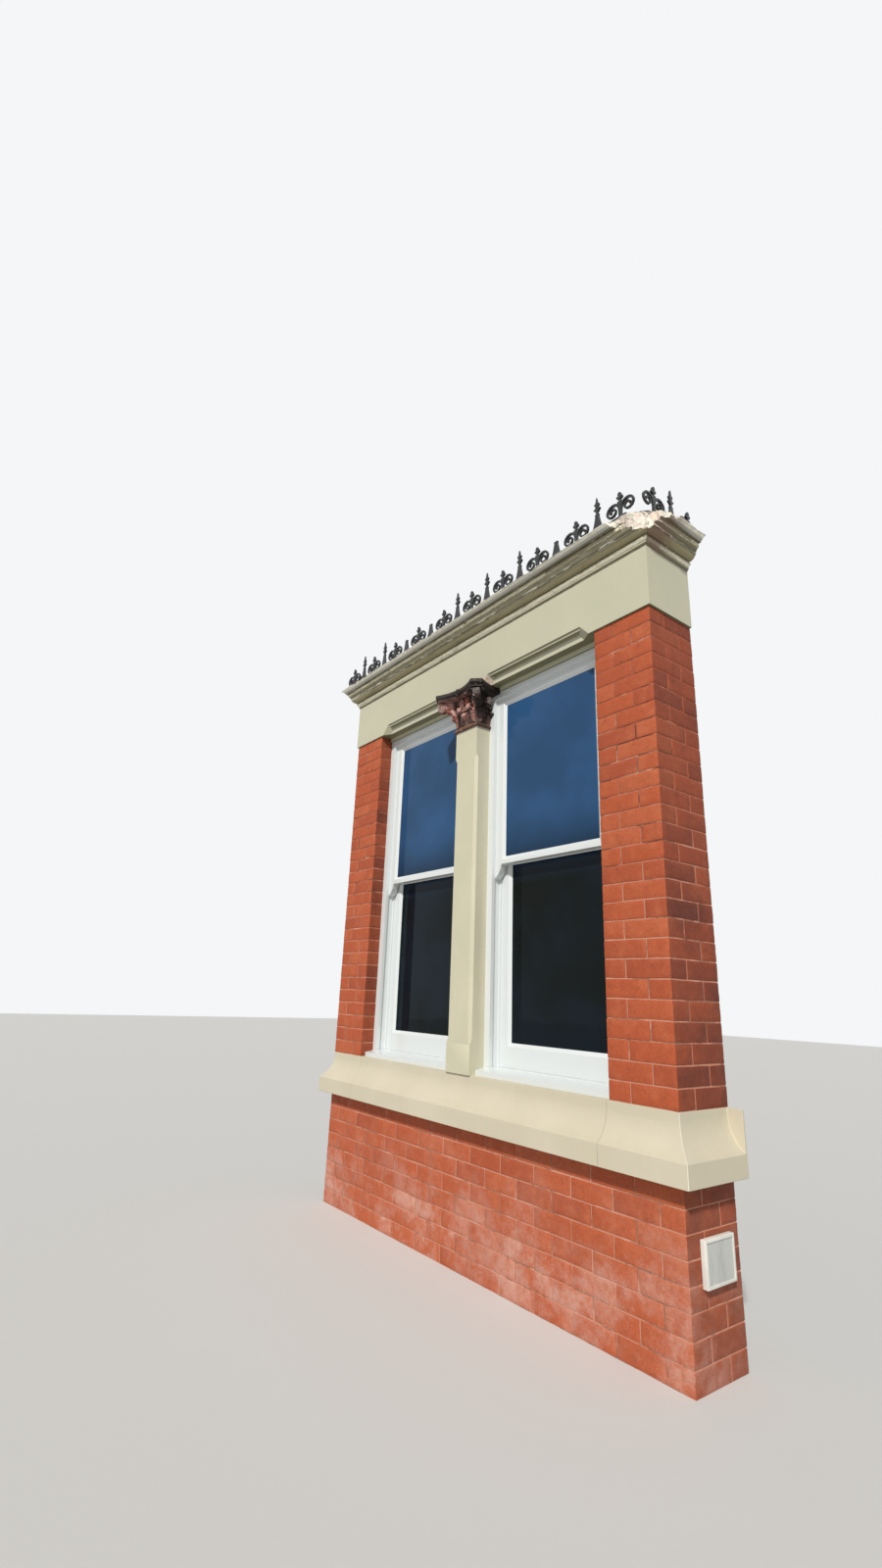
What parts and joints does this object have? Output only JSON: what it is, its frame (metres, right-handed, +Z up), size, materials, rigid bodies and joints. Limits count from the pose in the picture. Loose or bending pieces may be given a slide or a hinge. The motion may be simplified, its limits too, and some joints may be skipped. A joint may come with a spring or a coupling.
{
  "type": "bay window",
  "caption": "Shallow square bay window of brick with painted stone sill, mullion with carved capital, cornice, iron cresting and two sash windows.",
  "frame": {"origin": "on the ground, in the plane of the house wall, at the middle of the bay's width", "axes": "+Z up, +Y into the house, +X to the right seen from outside; the front looks along -Y"},
  "size_m": [2.968, 0.4725, 3.8415],
  "materials": {
    "brick": "matte orange-red facing brick with pale mortar",
    "painted_stone": "cream masonry paint on stone, weathered on top",
    "carved_stone": "weathered terracotta and soot-dark stone",
    "white_timber": "white gloss paint on timber",
    "pane": "clear sealed window glass",
    "black_iron": "black painted cast iron",
    "bare_boards": "plain softwood boards",
    "lead_sheet": "dull grey sheet lead",
    "plaster": "matte white plaster",
    "rubble": "rough filling under the floor",
    "cover_metal": "painted cover plate, dirty"
  },
  "bodies": {
    "root": {"plinth_front": "brick", "plinth_right": "brick", "plinth_left": "brick", "pier_right": "brick", "pier_left": "brick", "sill_front": "painted_stone", "sill_left": "painted_stone", "sill_right": "painted_stone", "mullion_shaft": "painted_stone", "capital_neck": "painted_stone", "lintel_left": "painted_stone", "lintel_right": "painted_stone", "frieze_left": "painted_stone", "frieze_right": "painted_stone", "cornice_front": "painted_stone", "cornice_left": "painted_stone", "cornice_right": "painted_stone", "capital_bell": "carved_stone", "capital_abacus": "carved_stone", "window_box_left": "white_timber", "window_box_right": "white_timber", "timber_sill_left": "white_timber", "timber_sill_right": "white_timber", "sash_upper_left": "white_timber", "sash_upper_right": "white_timber", "sash_lower_left": "white_timber", "sash_lower_right": "white_timber", "window_board": "white_timber", "apron": "white_timber", "glass_upper_left": "pane", "glass_upper_right": "pane", "glass_lower_left": "pane", "glass_lower_right": "pane", "cresting_left": "black_iron", "cresting_right": "black_iron", "cresting_front_a": "black_iron", "cresting_front_b": "black_iron", "cresting_front_c": "black_iron", "roof_boards": "bare_boards", "floor_boards": "bare_boards", "roof_lead": "lead_sheet", "ceiling": "plaster", "floor_slab": "rubble", "service_cover": "cover_metal"}
  },
  "joints": []
}
